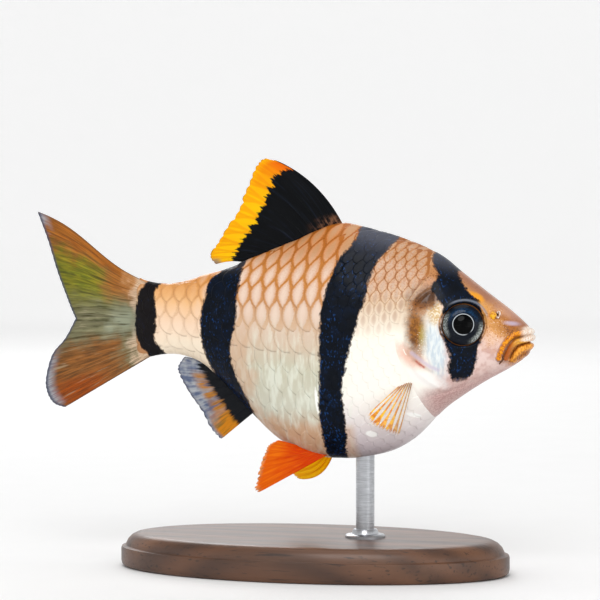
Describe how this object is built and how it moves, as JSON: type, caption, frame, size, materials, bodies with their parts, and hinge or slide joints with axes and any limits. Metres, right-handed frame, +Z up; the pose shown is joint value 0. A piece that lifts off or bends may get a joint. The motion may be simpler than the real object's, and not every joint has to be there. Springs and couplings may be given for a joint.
{
  "type": "tiger barb model",
  "caption": "Life-size still tiger barb with dark bars, raised fins and a forked tail, held on a small oval display stand by a short rod.",
  "frame": {"origin": "on the underside of the stand's oval base, straight below the rod; the middle of the oval lies 7 mm behind it", "axes": "+X towards the fish's snout, +Z up, and the fish's right side faces -Y"},
  "size_m": [0.0685, 0.028, 0.0537],
  "materials": {
    "skin": "wet scaled skin",
    "gill": "silvery gill cover",
    "eye": "wet dark eye",
    "black_fin": "dark fin membrane",
    "orange_fin": "orange fin membrane",
    "clear_fin": "thin tinted fin membrane",
    "wood": "satin pale wood",
    "steel": "brushed"
  },
  "bodies": {
    "root": {"head": "skin", "lower_jaw": "skin", "trunk": "skin", "tail_stalk": "skin", "gill_cover_right": "gill", "gill_cover_left": "gill", "eye_right": "eye", "eye_left": "eye", "dorsal_fin": "black_fin", "anal_fin": "black_fin", "tail_fin_upper": "clear_fin", "tail_fin_lower": "clear_fin", "pectoral_fin_right": "orange_fin", "pectoral_fin_left": "orange_fin", "pelvic_fin_right": "orange_fin", "pelvic_fin_left": "orange_fin", "stand_base": "wood", "stand_rod": "steel"}
  },
  "joints": []
}
